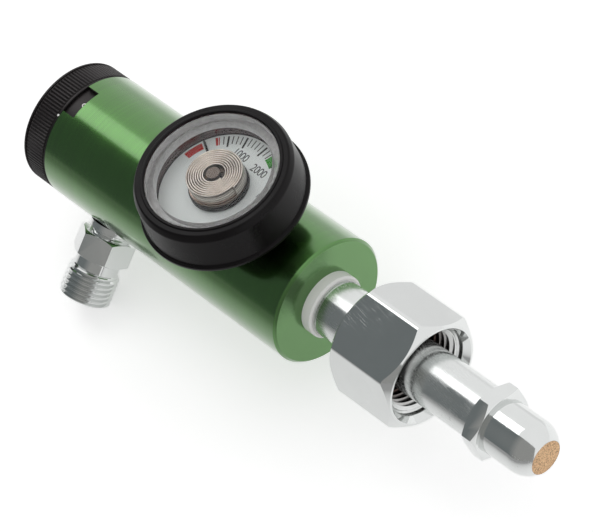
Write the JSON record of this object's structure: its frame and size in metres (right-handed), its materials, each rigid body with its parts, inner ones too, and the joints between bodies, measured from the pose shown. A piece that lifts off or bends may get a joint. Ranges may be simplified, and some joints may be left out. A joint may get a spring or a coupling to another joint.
{
  "type": "oxygen regulator",
  "caption": "High-pressure oxygen regulator: a barrel body with a nut and nipple inlet, a booted pressure gauge, a click-step flow knob and a threaded side outlet.",
  "frame": {"origin": "centre of the rounded end of the inlet nose, where its cylinder stops", "axes": "+X along the barrel and out of the inlet towards the cylinder valve, +Z out of the gauge's face, +Y away from the side outlet"},
  "size_m": [0.1764, 0.0571, 0.0634],
  "materials": {
    "chromed_brass": "polished plating with fine scratches",
    "sintered_bronze": "porous sintered bronze",
    "white_nylon": "smooth white plastic",
    "green_anodised_aluminium": "turned and green anodised",
    "brass": "turned",
    "black_rubber": "semi-gloss moulded rubber",
    "steel": "drawn stainless steel",
    "black_knob": "turned, ribbed and black anodised",
    "clear_lens": "clear polished window",
    "dial_paint": "matte pale paint",
    "pointer_paint": "matte black paint"
  },
  "bodies": {
    "regulator": {"body": "green_anodised_aluminium", "inlet_nipple": "chromed_brass", "inlet_filter": "sintered_bronze", "inlet_washer": "white_nylon", "seat_carrier": "brass", "valve_seat": "white_nylon", "stem_ring": "black_rubber", "main_spring": "steel", "metering_head": "brass", "head_ring": "black_rubber", "port_seal": "black_rubber", "face_ring": "black_rubber", "stop_pin": "steel", "pivot_screw": "steel", "gauge_stem": "brass", "gauge_case": "steel", "gauge_boot": "black_rubber", "gauge_lens": "clear_lens", "dial": "dial_paint", "coil_drum": "steel", "bourdon_coil": "steel", "outlet_fitting": "chromed_brass", "outlet_seal": "black_rubber"},
    "selector": {"knob": "black_knob", "number_ring": "black_knob", "orifice_disc": "brass", "pivot_ring": "black_rubber", "screw_washer": "white_nylon", "detent_balls": "steel", "detent_springs": "steel"},
    "nut": {"union_nut": "chromed_brass"},
    "needle": {"pointer": "pointer_paint"},
    "pressure_piston": {"piston": "brass", "piston_ring": "black_rubber"}
  },
  "joints": [
    {"name": "selector_turn", "type": "hinge", "parent": "regulator", "child": "selector", "pos_m": [-0.16185, 0, 0], "axis": [1, 0, 0], "range_deg": [0, 330]},
    {"name": "nut_slide", "type": "slide", "parent": "regulator", "child": "nut", "axis": [1, 0, 0], "range_m": [-0.0125, 0.0356]},
    {"name": "needle_turn", "type": "hinge", "parent": "regulator", "child": "needle", "pos_m": [-0.10005, 0, 0.0265], "axis": [0, 0, -1], "range_deg": [0, 144], "stiffness_Nm_per_rad": 0.00002},
    {"name": "piston_slide", "type": "slide", "parent": "regulator", "child": "pressure_piston", "axis": [1, 0, 0], "range_m": [0, 0.0008], "stiffness_N_per_m": 15000, "deforming": ["main_spring"]}
  ]
}
